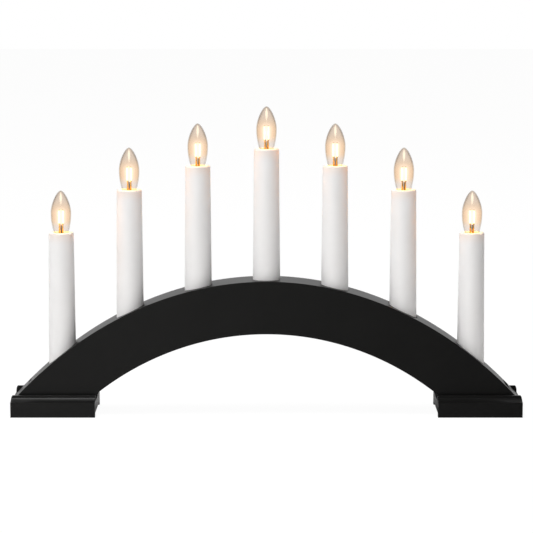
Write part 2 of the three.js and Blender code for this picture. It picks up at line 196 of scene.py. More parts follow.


# %% [markdown]
# ## Stage and light
# A plain white room: the floor and the air behind are white to the camera and in reflections, while the
# room in front stays dark in them and the light that falls on the object stays moderate. The key hangs
# high above on the left and a weaker light stands low in front, also on the left, so each candle goes
# from bright on its left to grey on its right. A small light above the left foot shows only in the gloss.
# In front on the right the floor is painted darker as seen in reflections only, a painted shade that the
# black paint mirrors. From below the floor is open, so the underside can be looked at.

# %% Stage and light
FLOOR_SIZE = 12
FLOOR_DROP = 0.2 * MM
FLOOR_TONES = ((0.86, 0.86, 0.86, 1), (0.9, 0.9, 0.9, 1))
FLOOR_WHITE_SHARE = 0.93
FLOOR_WHITE = 1.03
FLOOR_MIRROR_SHARE = 0.32
REFLECTED_SHADE_LEFT_TO_RIGHT = (-0.2, 0.25)
REFLECTED_SHADE_FRONT_TO_BACK = (0, 0.2)
REFLECTED_SHADE_TONE = (0.36, 0.36, 0.36, 1)
AMBIENT = 0.275
AMBIENT_TONE = (1.0, 0.973, 0.951, 1)
FRONT_MIRROR = 0.1
MIRROR_FADE = (-0.2, 0.5)
WHITE = (1, 1, 1, 1)
BLACK = (0, 0, 0, 1)


def seen_rays(finish):
    """The rays that look at the white room: from the camera, from mirrors and through glass."""
    camera_ray = finish.node("ShaderNodeLightPath", {}, {}, "Is Camera Ray")
    sockets = camera_ray.socket.node.outputs
    return camera_ray, Wire(finish, sockets["Is Glossy Ray"]), Wire(finish, sockets["Is Transmission Ray"])


def part_of(finish, vector, axis):
    return finish.node("ShaderNodeSeparateXYZ", {}, {"Vector": vector}, axis)


def white_room():
    finish = Finish(bpy.context.scene.world)
    camera_ray, glossy, through = seen_rays(finish)
    direction = finish.node("ShaderNodeTexCoord", {}, {}, "Generated")
    to_the_back = between(finish, part_of(finish, direction, "Y"), *MIRROR_FADE)
    mirrored = glossy * (FRONT_MIRROR + (1 - FRONT_MIRROR) * to_the_back)
    plain = 1 - camera_ray - glossy - through
    strength = camera_ray + through + mirrored + plain * AMBIENT
    tone = blend_colours(finish, plain, WHITE, AMBIENT_TONE)
    sky = finish.node("ShaderNodeBackground", {}, {"Color": tone, "Strength": strength})
    finish.node("ShaderNodeOutputWorld", {}, {"Surface": sky})


def floor_finish():
    finish = new_finish("pale_floor")
    camera_ray, glossy, through = seen_rays(finish)
    place = object_place(finish)
    pale = blend_colours(finish, noise(finish, place, scale=30), *FLOOR_TONES)
    # Painted shade: to the front right the floor is darker, but only as seen in reflections.
    to_the_right = between(finish, part_of(finish, place, "X"), *REFLECTED_SHADE_LEFT_TO_RIGHT)
    to_the_back = between(finish, part_of(finish, place, "Y"), *REFLECTED_SHADE_FRONT_TO_BACK)
    painted_reflected_shade = glossy * to_the_right * (1 - to_the_back)
    colour = blend_colours(finish, painted_reflected_shade, pale, REFLECTED_SHADE_TONE)
    matt = finish.node("ShaderNodeBsdfDiffuse", {}, {"Color": colour})
    white = finish.node("ShaderNodeEmission", {}, {"Color": WHITE, "Strength": FLOOR_WHITE})
    share = (camera_ray + through) * FLOOR_WHITE_SHARE + (glossy - painted_reflected_shade) * FLOOR_MIRROR_SHARE
    top = finish.node("ShaderNodeMixShader", {}, [share, matt, white])
    below = finish.node("ShaderNodeNewGeometry", {}, {}, "Backfacing")
    open_side = finish.node("ShaderNodeBsdfTransparent", {}, {"Color": WHITE})
    return surface(finish, finish.node("ShaderNodeMixShader", {}, [below, top, open_side]))


def soft_light(name, place, aim, size, power):
    facing = (Vector(aim) - Vector(place)).to_track_quat("-Z", "Y").to_euler()
    bpy.ops.object.light_add(type="AREA", location=place, rotation=facing)
    light = bpy.context.object
    light.name = name
    light.data.shape = "RECTANGLE"
    light.data.size = size
    light.data.size_y = size
    light.data.energy = power
    return light


if bpy.context.scene.world is None:
    bpy.context.scene.world = bpy.data.worlds.new("room")
white_room()
bpy.ops.mesh.primitive_plane_add(size=FLOOR_SIZE, location=(0, 0, -FLOOR_DROP))
floor = bpy.context.object
floor.name = "floor"
floor.data.materials.append(floor_finish())
top_light = soft_light("top_light", place=(-0.55, -0.28, 2.5), aim=(-0.1, 0, 0), size=0.72, power=48)
top_light.visible_glossy = False
soft_light("front_light", place=(-0.9, -2, 0.6), aim=(0, 0, 0.1), size=1, power=15)
shine_light = soft_light("shine_light", place=(-0.25, -0.12, 0.75), aim=(-0.18, 0, 0), size=0.2, power=3.6)
shine_light.visible_diffuse = False

# %% [markdown]
# ## Tools of the bench
# Most pieces here are either turned, like a candle sleeve, or cut from a board, like the arch. Both start
# from a drawn line, so one helper draws it by extruding a single vertex from point to point. A second one
# spins the line round the candle's axis, and a third cuts one piece with another.


# %% Tools of the bench
SAME_POINT = 0.002
SAME_PLACE = 0.01


def deselect_everything():
    if bpy.context.object and bpy.context.object.mode != "OBJECT":
        bpy.ops.object.mode_set(mode="OBJECT")
    bpy.ops.object.select_all(action="DESELECT")


def take(piece):
    deselect_everything()
    piece.select_set(True)
    bpy.context.view_layer.objects.active = piece
    return piece


def settle(piece):
    """Moves the object's place, turn and scale into its mesh."""
    take(piece)
    bpy.ops.object.transform_apply(location=True, rotation=True, scale=True)
    return piece


def draw_line(name, points):
    """A line through the points, in millimetres, left in edit mode with all of it selected."""
    deselect_everything()
    bpy.ops.mesh.primitive_plane_add(size=MM)
    piece = bpy.context.object
    piece.name = name
    bpy.ops.object.mode_set(mode="EDIT")
    bpy.ops.mesh.select_mode(type="VERT")
    bpy.ops.mesh.merge(type="CENTER")
    first, *others = [Vector(point) * MM for point in points]
    bpy.ops.transform.translate(value=first)
    here = first
    for point in others:
        bpy.ops.mesh.extrude_vertices_move(TRANSFORM_OT_translate={"value": point - here})
        here = point
    bpy.ops.mesh.select_all(action="SELECT")
    return piece


def close_up(piece):
    """Merges doubled points, turns the faces outwards and goes back to object mode."""
    bpy.ops.mesh.select_all(action="SELECT")
    bpy.ops.mesh.remove_doubles(threshold=SAME_POINT * MM)
    bpy.ops.mesh.normals_make_consistent(inside=False)
    bpy.ops.object.mode_set(mode="OBJECT")
    return piece


def push_out(shift):
    """Extrudes what is selected in edit mode by a shift in millimetres."""
    metres = [step * MM for step in shift]
    bpy.ops.mesh.extrude_region_move(TRANSFORM_OT_translate={"value": metres})


def turn(name, outline, steps):
    """Spins an outline of (radius, height) round the Z axis."""
    piece = draw_line(name, [(radius, 0, height) for radius, height in outline])
    bpy.ops.mesh.spin(steps=steps, angle=2 * math.pi, center=(0, 0, 0), axis=(0, 0, 1))
    return close_up(piece)


def modify(piece, kind, **settings):
    take(piece)
    modifier = piece.modifiers.new(kind.lower(), kind)
    for name, value in settings.items():
        setattr(modifier, name, value)
    bpy.ops.object.modifier_apply(modifier=modifier.name)
    return piece


def ease_edges(piece, width, segments=3, sharper_than=50):
    return modify(
        piece,
        "BEVEL",
        width=width * MM,
        segments=segments,
        limit_method="ANGLE",
        angle_limit=math.radians(sharper_than),
    )


def carve(piece, cutter, operation="DIFFERENCE"):
    modify(piece, "BOOLEAN", object=cutter, operation=operation, solver="EXACT")
    bpy.data.objects.remove(cutter)
    return piece


def box(name, low, high):
    """A block between two corners, in millimetres."""
    low, high = Vector(low) * MM, Vector(high) * MM
    deselect_everything()
    bpy.ops.mesh.primitive_cube_add(size=1, location=(low + high) / 2, scale=high - low)
    piece = bpy.context.object
    piece.name = name
    return settle(piece)


def rod(name, radius, bottom, top, x=0, sides=32):
    """A round bar that stands on end, in millimetres."""
    deselect_everything()
    bpy.ops.mesh.primitive_cylinder_add(
        vertices=sides,
        radius=radius * MM,
        depth=(top - bottom) * MM,
        location=Vector((x, 0, (bottom + top) / 2)) * MM,
    )
    piece = bpy.context.object
    piece.name = name
    return settle(piece)


def smooth(piece, angle=35):
    take(piece)
    bpy.ops.object.shade_smooth_by_angle(angle=math.radians(angle))
    return piece


def smooth_board(piece):
    """Smooths the eased edges and keeps the large faces flat beside them."""
    return modify(smooth(piece, angle=30), "WEIGHTED_NORMAL", keep_sharp=True)


def join(name, pieces):
    take(pieces[0])
    for piece in pieces[1:]:
        piece.select_set(True)
    bpy.ops.object.join()
    pieces[0].name = name
    return pieces[0]


def pick(piece, kind, test):
    """Selects the points or the edges whose middle passes the test, in edit mode."""
    bpy.ops.mesh.select_mode(type=kind)
    bpy.ops.mesh.select_all(action="DESELECT")
    shape = bmesh.from_edit_mesh(piece.data)
    for part in shape.verts if kind == "VERT" else shape.edges:
        corners = [part.co] if kind == "VERT" else [vert.co for vert in part.verts]
        middle = sum(corners, Vector()) / len(corners) / MM
        part.select_set(test(middle))
    shape.select_flush_mode()
    bmesh.update_edit_mesh(piece.data)


def dress(piece, finish, slot, body, *nodes):
    piece.data.materials.clear()
    piece.data.materials.append(finish)
    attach(piece, body)
    if nodes:
        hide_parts(*nodes)
    return piece


def near(first, second):
    return abs(first - second) < SAME_PLACE


def arc_points(centre, radius, start, stop, steps):
    turns = [start + (stop - start) * step / steps for step in range(steps + 1)]
    return [(centre[0] + radius * math.cos(a), centre[1] + radius * math.sin(a)) for a in turns]


# %% [markdown]
# ## Black paint
# The arch and the feet are sprayed with a satin black. Seen face on it is almost black, and seen along
# the surface it mirrors the white room, which is why the top of the arch looks grey. A little orange peel
# in the bump and slow clouds in the gloss keep it from looking like a flat fill.

# %% Black paint
PAINT_TONES = ((0.0052, 0.0053, 0.0051, 1), (0.0078, 0.0078, 0.0074, 1))
FIBRE_STRETCH = (40, 900, 160)


def black_paint():
    finish = new_finish("satin_black_paint")
    place = object_place(finish)
    clouds = noise(finish, place, scale=24, detail=3)
    peel = noise(finish, place, scale=700)
    fibres = noise(finish, stretched(finish, place, FIBRE_STRETCH), scale=1, detail=3)
    return surface(
        finish,
        principled(
            finish,
            Base_Color=blend_colours(finish, clouds, *PAINT_TONES),
            Roughness=0.32 + 0.1 * clouds,
            Specular_IOR_Level=0.125,
            Normal=bump(finish, peel * 0.6 + fibres * 0.4, strength=0.12, depth=0.3 * MM),
        ),
    )


satin_black = black_paint()
print("finish:", satin_black.name)

# %% [markdown]
# ## Arch
# The arch is one wooden band, sawn between two ellipses and cut level where it stands in the feet. It
# could be a curve with a bevel, but its thickness changes along its length, so the two edges are drawn as
# lines, bridged into a face and pushed back to the board's depth. The bores and the wiring groove are cut
# last, by cutters that reach a little past the surface.

# %% Arch
HALF_SPAN = 208.6
SEAT = 12.1
CROWN = 110.7
CROWN_THICKNESS = 43.6
END_LENGTH = 62.2
OUTER_RISE = 424
INNER_RISE = 263
ARCH_DEPTH = 35
ARCH_EDGE = 0.5
ARC_STEPS = 120
SLEEVE_GAP = 0.3
SLEEVE_LENGTH = 118
SLEEVE_BASE = 22.7
WIRE_HOLE = 8
GROOVE_WIDTH = 8
GROOVE_DEPTH = 8
COVER_WIDTH = 14
COVER_THICKNESS = 2
COVER_END_RISE = 3.5
FIT_GAP = 0.3
PAST = 2


class Ellipse:
    """An upright ellipse of which the arch uses the top."""

    def __init__(self, apex, rise, half_span):
        self.centre = apex - rise
        self.rise = rise
        self.end = math.asin((SEAT - self.centre) / rise)
        self.radius = half_span / math.cos(self.end)

    def arc(self, depth, offset=0, end=None):
        end = self.end if end is None else end
        points = []
        for step in range(ARC_STEPS + 1):
            angle = math.pi - end - (math.pi - 2 * end) * step / ARC_STEPS
            x = (self.radius + offset) * math.cos(angle)
            points.append((x, depth, self.centre + (self.rise + offset) * math.sin(angle)))
        return points

    def height(self, x):
        return self.centre + self.rise * math.sqrt(1 - (x / self.radius) ** 2)


outer = Ellipse(CROWN, OUTER_RISE, HALF_SPAN)
inner = Ellipse(CROWN - CROWN_THICKNESS, INNER_RISE, HALF_SPAN - END_LENGTH)


def band(name, upper, lower, depth):
    """A board between two lines, pushed back from the front by its depth."""
    top = draw_line(name, upper)
    bottom = draw_line(name, lower)
    piece = join(name, [top, bottom])
    bpy.ops.object.mode_set(mode="EDIT")
    bpy.ops.mesh.select_all(action="SELECT")
    bpy.ops.mesh.bridge_edge_loops()
    bpy.ops.mesh.select_all(action="SELECT")
    push_out((0, depth, 0))
    return close_up(piece)


def candle_place(number):
    low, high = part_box(f"candle_sleeve_{number}")
    return Vector(((low.x + high.x) / 2, 0, high.z))


places = {number: candle_place(number) for number in CANDLES}


def underside_strip(name, low, high, width, end):
    half = width / 2
    return band(name, inner.arc(-half, high, end), inner.arc(-half, low, end), width)


def make_arch():
    half = ARCH_DEPTH / 2
    arch = band("painted_arch", outer.arc(-half), inner.arc(-half), ARCH_DEPTH)
    ease_edges(arch, ARCH_EDGE)
    past_end = inner.end - PAST / INNER_RISE
    rebate = COVER_THICKNESS + FIT_GAP
    carve(arch, underside_strip("rebate", -PAST, rebate, COVER_WIDTH + 2 * FIT_GAP, past_end))
    carve(arch, underside_strip("groove", -PAST, GROOVE_DEPTH, GROOVE_WIDTH, past_end))
    for place in places.values():
        x, rim = place.x / MM, place.z / MM
        bottom = rim - SLEEVE_LENGTH - FIT_GAP
        carve(arch, rod("bore", SLEEVE_BASE / 2 + SLEEVE_GAP, bottom, rim, x, sides=72))
        reach = min(abs(x), HALF_SPAN - END_LENGTH)
        groove_top = inner.height(reach) + COVER_THICKNESS
        carve(arch, rod("wire_hole", WIRE_HOLE / 2, groove_top, bottom + PAST, x))
    return arch


arch = make_arch()
print("arch:", len(arch.data.polygons), "faces")

# %% [markdown]
# ## Cord outlet and small slot
# Near the right end a slot runs across the top and opens at the back: the cord comes out there through a
# rubber bush. It is cut with a block that is tilted to the arch's slope. Near the left end there is one
# short, narrow slot, cut with a round bar that is stretched from front to back.

# %% Cord outlet and small slot
SLOT_INSET = 9.4
SLOT_WIDTH = 5.8
SLOT_DEPTH = 11
SLOT_FRONT = 11
BUSH_LENGTH = 24
BUSH_HEIGHT = 5
BUSH_SUNK = 0.4
BUSH_TOP = 0.05
BUSH_BORE = 2
BUSH_EDGE = 0.2
HOLE_INSET = 12.2
HOLE_BACK = 5
HOLE_LENGTH = 14
HOLE_WIDTH = 2.2
HOLE_DEPTH = 4
RUBBER_TONES = ((0.004, 0.004, 0.004, 1), (0.008, 0.008, 0.008, 1))

slot_x = HALF_SPAN - SLOT_INSET
slot_slope = math.atan2(outer.height(slot_x + 1) - outer.height(slot_x - 1), 2)
slot_mouth = Vector((slot_x, 0, outer.height(slot_x))) * MM
slot_place = Matrix.Translation(slot_mouth) @ Matrix.Rotation(-slot_slope, 4, "Y")


def tilted_box(name, low, high):
    """A block drawn at the slot's mouth and then laid on the arch's slope."""
    piece = box(name, low, high)
    piece.matrix_world = slot_place
    return settle(piece)


def make_bush():
    half = SLOT_WIDTH / 2 - FIT_GAP
    back = ARCH_DEPTH / 2 - BUSH_SUNK
    low = (-half, back - BUSH_LENGTH, -BUSH_TOP - BUSH_HEIGHT)
    bush = ease_edges(tilted_box("cord_outlet_bush", low, (half, back, -BUSH_TOP)), BUSH_EDGE)
    deselect_everything()
    bpy.ops.mesh.primitive_cylinder_add(
        vertices=32,
        radius=BUSH_BORE / 2 * MM,
        depth=(BUSH_LENGTH + 2 * PAST) * MM,
        location=slot_place @ (Vector((0, back - BUSH_LENGTH / 2, -BUSH_TOP - BUSH_HEIGHT / 2)) * MM),
        rotation=(math.pi / 2, 0, 0),
    )
    return smooth(carve(bush, settle(bpy.context.object)))


slot_cut = tilted_box(
    "slot",
    (-SLOT_WIDTH / 2, -SLOT_FRONT, -SLOT_DEPTH),
    (SLOT_WIDTH / 2, ARCH_DEPTH / 2 + PAST, PAST),
)
carve(arch, slot_cut)
hole_x = HOLE_INSET - HALF_SPAN
hole_top = outer.height(hole_x)
hole = rod("hole", HOLE_WIDTH / 2, hole_top - HOLE_DEPTH, hole_top + HOLE_DEPTH, hole_x, sides=24)
hole.scale.y = HOLE_LENGTH / HOLE_WIDTH
hole.location.y = HOLE_BACK * MM
carve(arch, settle(hole))
dress(smooth_board(arch), satin_black, "black_paint", "holder", "arch")
rubber = mottled(
    "black_rubber",
    RUBBER_TONES,
    scale=1500,
    rough=(0.75, 0.2),
    relief=(0.2, 0.1 * MM),
    Specular_IOR_Level=0.0,
)
dress(make_bush(), rubber, "black_rubber", "holder", "cord_bush")
print("cord outlet at x =", round(slot_x, 1), "mm, small slot at x =", round(hole_x, 1), "mm")

# %% [markdown]
# ## Wiring cover
# A thin board closes the groove in the arch's underside. It is bent along the same ellipse, so it is the
# same band with a smaller thickness.

# %% Wiring cover
COVER_EDGE = 0.3
BOARD_TONES = ((0.009, 0.009, 0.008, 1), (0.016, 0.015, 0.014, 1))

cover_end = math.asin((SEAT + COVER_END_RISE - inner.centre) / INNER_RISE)
cover = underside_strip("groove_cover", 0, COVER_THICKNESS, COVER_WIDTH, cover_end)
hardboard = mottled(
    "painted_hardboard",
    BOARD_TONES,
    scale=300,
    rough=(0.55, 0.15),
    detail=4,
    relief=(0.2, 0.2 * MM),
)
dress(smooth_board(ease_edges(cover, COVER_EDGE)), hardboard, "black_board", "holder", "wiring_cover")
print("cover:", len(cover.data.polygons), "faces")

# %% [markdown]
# ## Feet
# Each foot is a length of moulding: a square nose, a wide cove, and a lip in front and behind with a
# trough between them for the arch. A moulding is the same all along, so its section is drawn once, its
# corners are rounded in the flat with a vertex bevel, and the face is pushed out to the foot's length.
# The outer end is rounded over at the top, a relief is cut underneath so that the foot stands on two
# runners, and the screw holes are countersunk.

# %% Feet
TROUGH_FLOOR = SEAT - FIT_GAP
TROUGH_HALF = 20.5
FOOT_HALF_DEPTH = 29.4
NOSE_HEIGHT = 12.4
COVE_RADIUS = 10
COVE_SWEEP = math.radians(43)
COVE_STEPS = 10
LIP_TOP = 17.1
LIP_ROUND = 0.25
END_ROUND = 1.5
END_STRETCH = 2.8
FOOT_EDGE = 0.7
RELIEF_HEIGHT = 3
RUNNER_INSIDE = 24.4
SCREW_HEAD = 7.6
SCREW_SHANK = 4
SCREW_EDGE = 0.5
SCREW_LENGTH = 24
SCREW_POINT = 4
SCREW_FRONT = 9


def moulding_section():
    centre = (FOOT_HALF_DEPTH, NOSE_HEIGHT + COVE_RADIUS)
    low = -math.pi / 2
    cove = arc_points(centre, COVE_RADIUS, low, low - COVE_SWEEP, COVE_STEPS)
    lip_face = cove[-1][0]
    half = [(FOOT_HALF_DEPTH, 0), *cove, (lip_face, LIP_TOP)]
    half += [(TROUGH_HALF, LIP_TOP), (TROUGH_HALF, TROUGH_FLOOR)]
    return half + [(-depth, height) for depth, height in reversed(half)]


def round_corners(piece, radius, test):
    pick(piece, "VERT", test)
    bpy.ops.mesh.bevel(offset=radius * MM, segments=5, affect="VERTICES")


def screw_outline(gap, bottom, straight):
    """The outline of a countersunk screw, or with a gap all round that of its hole."""
    head, shank = SCREW_HEAD / 2 + gap, SCREW_SHANK / 2 + gap
    cone_top = SCREW_EDGE + head - shank
    outline = [(0, bottom), (head, bottom), (head, SCREW_EDGE), (shank, cone_top)]
    return outline + [(shank, straight), (0, SCREW_LENGTH)]


def screw_places(side):
    boxes = [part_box(f"foot_screw_{side}_{number}") for number in (1, 2)]
    middles = [(low.x + high.x) / 2 / MM for low, high in boxes]
    return [Vector((x, -SCREW_FRONT, RELIEF_HEIGHT)) * MM for x in middles]


def screw_hole(place):
    cutter = turn("screw_hole", screw_outline(FIT_GAP, -PAST, SCREW_LENGTH), steps=32)
    cutter.location = place
    return settle(cutter)


def end_block(side, low, high):
    """A block round the foot, rounded over at the top of its outer end and then stretched upwards."""
    top = LIP_TOP / END_STRETCH
    block = box("ends", (low.x, -FOOT_HALF_DEPTH - PAST, -PAST), (high.x, FOOT_HALF_DEPTH + PAST, top))
    outer_end = low.x if side == "left" else high.x
    bpy.ops.object.mode_set(mode="EDIT")
    pick(block, "EDGE", lambda middle: near(middle.z, top) and near(middle.x, outer_end))
    bpy.ops.mesh.bevel(offset=END_ROUND * MM, segments=8)
    bpy.ops.object.mode_set(mode="OBJECT")
    block.scale.z = END_STRETCH
    return settle(block)


def make_foot(side):
    low, high = (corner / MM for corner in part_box(f"foot_{side}"))
    section = [(low.x, depth, height) for depth, height in moulding_section()]
    foot = draw_line(f"moulded_foot_{side}", section)
    bpy.ops.mesh.edge_face_add()
    round_corners(foot, LIP_ROUND, lambda point: near(point.z, LIP_TOP))
    bpy.ops.mesh.select_all(action="SELECT")
    push_out((high.x - low.x, 0, 0))
    close_up(foot)
    carve(foot, end_block(side, low, high), "INTERSECT")
    ease_edges(foot, FOOT_EDGE)
    relief_low = (low.x - PAST, -RUNNER_INSIDE, -PAST)
    carve(foot, box("relief", relief_low, (high.x + PAST, RUNNER_INSIDE, RELIEF_HEIGHT)))
    for place in screw_places(side):
        carve(foot, screw_hole(place))
    return smooth_board(foot)


for side in ("left", "right"):
    foot = dress(make_foot(side), satin_black, "black_paint", "holder", f"foot_{side}")
    print(foot.name, len(foot.data.polygons), "faces")

# %% [markdown]
# ## Foot screws
# Four countersunk screws go up through the feet into the arch. One is turned, its cross recess is cut
# with two thin blocks, and it is copied to the other holes.

# %% Foot screws
RECESS_LENGTH = 4.2
RECESS_WIDTH = 0.9
RECESS_DEPTH = 2
SCREW_EASE = 0.12
ZINC_TONES = ((0.46, 0.47, 0.48, 1), (0.58, 0.58, 0.57, 1))


def make_screw():
    outline = screw_outline(0, 0, SCREW_LENGTH - SCREW_POINT)
    screw = ease_edges(turn("countersunk_screw", outline, steps=48), SCREW_EASE, segments=2)
    for length, width in ((RECESS_LENGTH, RECESS_WIDTH), (RECESS_WIDTH, RECESS_LENGTH)):
        low = (-length / 2, -width / 2, -PAST)
        carve(screw, box("recess", low, (length / 2, width / 2, RECESS_DEPTH)))
    return smooth(screw)


def copy_to(piece, name, place):
    """A copy with its own mesh, moved to its place and left with its object at the origin."""
    take(piece)
    bpy.ops.object.duplicate(linked=False)
    twin = bpy.context.object
    twin.name = name
    twin.location = place
    return settle(twin)


zinc_plate = mottled("zinc_plate", ZINC_TONES, scale=500, rough=(0.28, 0.18), Metallic=1.0)
screw = make_screw()
for side in ("left", "right"):
    for number, place in enumerate(screw_places(side), 1):
        twin = copy_to(screw, f"screw_{side}_{number}", place)
        dress(twin, zinc_plate, "zinc_steel", "holder", f"foot_screw_{side}_{number}")
bpy.data.objects.remove(screw)
print("screws: 4 copies")

# %% [markdown]
# ## Height above the rim
# The painted glow of a lamp fades with the distance from it, and the candles stand at different heights.
# So each turned piece of a candle is modelled with the sleeve's rim at zero, and the height of every point
# is kept on the mesh as an attribute before the piece is copied to its place. The finishes read that
# attribute for their painted light and tints.


# %% Height above the rim
def keep(piece, name, rule):
    """Stores a number at every point, worked out from its radius and height in millimetres."""
    numbers = piece.data.attributes.new(name, "FLOAT", "POINT")
    for vert, number in zip(piece.data.vertices, numbers.data):
        number.value = rule(vert.co.xy.length / MM, vert.co.z / MM)
    return piece


def keep_heights(piece):
    return keep(piece, "above_rim", lambda radius, height: height)


def kept(finish, name):
    return finish.node("ShaderNodeAttribute", {"attribute_name": name}, {}, "Fac")


# %% [markdown]
# ## Candle sleeves
# A sleeve is a white plastic tube that tapers a little, with a rounded shoulder and a mouth for the bulb.
# It is turned from its section. The plastic is slightly translucent, and the lamp's warm light on its
# upper
# end is painted: the colour turns warm and a faint painted glow fades below the rim, and the edge of the
# mouth, which faces the lamp, has a brighter painted glow.

# %% Candle sleeves
SLEEVE_TOP = 20.5
SLEEVE_WALL = 1.5
SLEEVE_LIP = 1.3
SHOULDER = 1.3
MOUTH_EASE = 0.3
MOUTH_GAP = 0.8
RIM_GAP = 0.4
SHOULDER_STEPS = 8
SLEEVE_SIDES = 96
PLASTIC_TONES = ((0.82, 0.813, 0.812, 1), (0.86, 0.853, 0.852, 1))
PAINTED_LAMP_WARMTH = (0.8, 0.768, 0.735, 1)
PAINTED_WARMTH_REACH = 14
PAINTED_SHOULDER_GLOW = (0.07, 0.018, 0.0, 1)
PAINTED_MOUTH_GLOW = (0.6, 0.5, 0.3, 1)
DRAW_STRETCH = (1400, 1400, 14)


def white_plastic():
    finish = new_finish("white_candle_plastic")
    place = object_place(finish)
    clouds = noise(finish, place, scale=60, detail=3)
    draw_marks = noise(finish, stretched(finish, place, DRAW_STRETCH), scale=1)
    # Painted lamp light: towards the rim the colour turns warm and a faint glow is added.
    painted_warmth = between(finish, kept(finish, "above_rim"), -PAINTED_WARMTH_REACH, 0) ** 2
    cool = blend_colours(finish, clouds, *PLASTIC_TONES)
    shoulder = blend_colours(finish, painted_warmth, BLACK, PAINTED_SHOULDER_GLOW)
    return surface(
        finish,
        principled(
            finish,
            Base_Color=blend_colours(finish, painted_warmth, cool, PAINTED_LAMP_WARMTH),
            Roughness=0.4 + 0.1 * clouds,
            Specular_IOR_Level=0.3,
            Emission_Color=blend_colours(finish, kept(finish, "painted_glow_edge"), shoulder, PAINTED_MOUTH_GLOW),
            Emission_Strength=1.0,
            Normal=bump(finish, draw_marks, strength=0.06, depth=0.1 * MM),
        ),
    )


def make_sleeve(mouth):
    top = SLEEVE_TOP / 2
    bore = top - SLEEVE_WALL
    outline = [(SLEEVE_BASE / 2, -SLEEVE_LENGTH)]
    outline += arc_points((top - SHOULDER, -SHOULDER), SHOULDER, 0, math.pi / 2, SHOULDER_STEPS)
    outline += [(mouth + MOUTH_EASE, 0), (mouth, -MOUTH_EASE), (mouth, -SLEEVE_LIP)]
    outline += [(bore, -SLEEVE_LIP), (bore, -SLEEVE_LENGTH), outline[0]]
    sleeve = keep_heights(turn("sleeve", outline, SLEEVE_SIDES))
    # Marks the edge of the mouth, which gets a brighter painted glow.
    return smooth(keep(sleeve, "painted_glow_edge", lambda radius, height: float(radius < mouth + 2 * MOUTH_EASE)))


# %% [markdown]
# ## Bulb glass
# The glass is blown in the shape of a flame: widest a little below the middle of what shows, drawn to a
# blunt point above and to a neck below. Two smooth curves give the outline, and the inner wall follows it
# at the wall's thickness. A glass shader would do, but so thin a wall hardly bends light, and see-through
# walls with a tint are quicker and cleaner. The tint follows the height: at the waist a peach tint paints
# the rods' warm light, and towards the tip it turns greyer. Where a wall is seen edge on, a dark tint
# paints its shade, more so towards the tip. A faint painted glow by the rods is added on top, and the
# edges mirror a little of the room.

# %% Bulb glass
BULB_TIP = 34.5
BULB_WAIST = 15.85
BULB_DIAMETER = 16.7
GLASS_WALL = 0.6
NECK_DEPTH = 9
NECK_SEAT = 2.5
NECK_RADIUS = 3.95
NECK_FLARE = 0.3
NECK_RUN = 5
BELLY_RUN = 12.5
SHOULDER_RUN = 7.9
TIP_WIDTH = 3.1
GLASS_STEPS = 18
GLASS_SIDES = 72
WALLS_IN_A_ROW = 4
NECK_TINT = (238, 226, 216)
PAINTED_WAIST_GLOW = (247, 214, 181)
TIP_TINT = (226, 208, 191)
PAINTED_EDGE_SHADE = (20, 14, 10)
NECK_TO_WAIST = (3, 11)
WAIST_TO_TIP = (15, 29)
EDGE_SHADE_RISE = (15, 30)
GLOW_RISE = (3, 10)
GLOW_FALL = (15.5, 23)
GLOW_TONE = (1.0, 0.97, 0.92, 1)
GLOW_STRENGTH = 0.31
MIRROR_SHARE = 0.1
MIRROR_ROUGHNESS = 0.15


def bezier(start, first, second, stop, steps):
    axes = list(zip(start, first, second, stop))
    points = []
    for step in range(steps + 1):
        t = step / steps
        shares = ((1 - t) ** 3, 3 * t * (1 - t) ** 2, 3 * t * t * (1 - t), t**3)
        points.append(tuple(sum(share * place for share, place in zip(shares, axis)) for axis in axes))
    return points


def glass_line():
    waist = (BULB_DIAMETER / 2, BULB_WAIST)
    lower = bezier(
        (NECK_RADIUS, -NECK_DEPTH),
        (NECK_RADIUS + NECK_FLARE, NECK_RUN - NECK_DEPTH),
        (waist[0], BULB_WAIST - BELLY_RUN),
        waist,
        GLASS_STEPS,
    )
    upper = bezier(
        waist,
        (waist[0], BULB_WAIST + SHOULDER_RUN),
        (TIP_WIDTH, BULB_TIP),
        (0, BULB_TIP),
        GLASS_STEPS,
    )
    return [(NECK_RADIUS, -NECK_DEPTH - NECK_SEAT), *lower, *upper[1:]]


def glass_radius(height):
    return next(radius for radius, level in glass_line() if level >= height)


def inside_of(line, wall):
    """The line moved inwards by the wall's thickness, square to itself."""
    points = []
    for index, (radius, height) in enumerate(line):
        before, after = line[max(index - 1, 0)], line[min(index + 1, len(line) - 1)]
        along = Vector((after[0] - before[0], after[1] - before[1])).normalized()
        points.append((max(radius - along.y * wall, 0), height + along.x * wall))
    points[0] = (points[0][0], line[0][1])
    points[-1] = (0, line[-1][1] - 2 * wall)
    return points


def make_glass():
    line = glass_line()
    glass = keep_heights(turn("glass", [*reversed(inside_of(line, GLASS_WALL)), *line], GLASS_SIDES))

    def on_outer_wall(radius, height):
        return float(min(math.hypot(radius - r, height - h) for r, h in line) < GLASS_WALL / 2)

    return smooth(keep(glass, "outer_wall", on_outer_wall), angle=60)


def mixed(finish, share, first, second):
    shaders = {1: first, 2: second} if first else {2: second}
    return finish.node("ShaderNodeMixShader", {}, {0: share, **shaders})


def film(finish, tone):
    """One wall of glass: with all the walls in a row, white looks like the tone."""
    wall = [share ** (1 / WALLS_IN_A_ROW) for share in paint_tone(*tone)]
    return finish.node("ShaderNodeBsdfTransparent", {}, {"Color": wall})


def seen_edge_on(finish):
    """0 where a wall is seen face on, and 1 where it is seen along its surface."""
    return finish.node("ShaderNodeLayerWeight", {}, {"Blend": 0.5}, "Facing")


